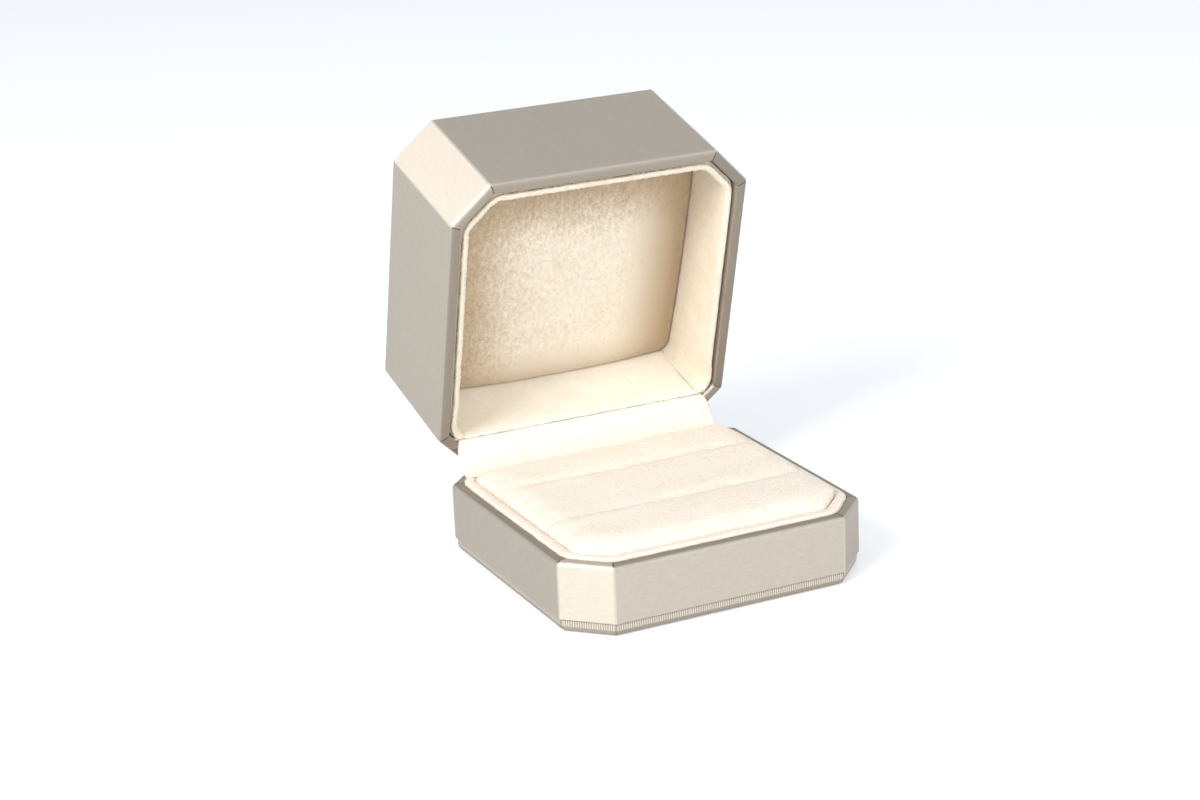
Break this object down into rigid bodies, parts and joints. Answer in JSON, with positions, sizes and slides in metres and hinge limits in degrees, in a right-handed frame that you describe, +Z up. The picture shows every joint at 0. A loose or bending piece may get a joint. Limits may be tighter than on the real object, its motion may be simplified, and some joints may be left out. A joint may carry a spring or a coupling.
{
  "type": "ring box",
  "caption": "Octagonal leatherette ring box with a spring-hinged lid, suede lining and a padded insert with ring slots, standing open.",
  "frame": {"origin": "centre of the flat underside of the base", "axes": "+Z up, -Y towards the front, +X to the right seen from the front; the lid stands open as pictured"},
  "size_m": [0.07, 0.1002, 0.0907],
  "materials": {
    "leatherette": "brushed satin",
    "suede": "short nap",
    "core": "moulded",
    "board": "pressed fibreboard",
    "card": "grey card",
    "foam": "open-cell foam",
    "steel": "plated"
  },
  "bodies": {
    "base": {"base_tray": "core", "base_leatherette": "leatherette", "bottom_board": "board", "bottom_leatherette": "leatherette", "base_collar_card": "card", "base_collar_suede": "suede", "pad_board": "card", "pad_foam_front": "foam", "pad_foam_middle": "foam", "pad_foam_rear": "foam", "pad_suede_front": "suede", "pad_suede_middle": "suede", "pad_suede_rear": "suede", "hinge_leaf_base": "steel", "hinge_rivets_base": "steel", "hinge_pin": "steel", "hinge_bow_spring": "steel", "hinge_flap": "suede"},
    "lid": {"lid_shell": "core", "lid_leatherette": "leatherette", "lid_lining_card": "card", "lid_lining_suede": "suede", "lid_rear_lining": "suede", "lid_panel_board": "card", "lid_panel_foam": "foam", "lid_panel_suede": "suede", "hinge_leaf_lid": "steel", "hinge_rivets_lid": "steel"}
  },
  "joints": [
    {"name": "lid_hinge", "type": "hinge", "parent": "base", "child": "lid", "pos_m": [0, 0.0343, 0.0156], "axis": [1, 0, 0], "range_deg": [0, 74.7], "deforming": ["hinge_flap", "hinge_bow_spring"]}
  ]
}
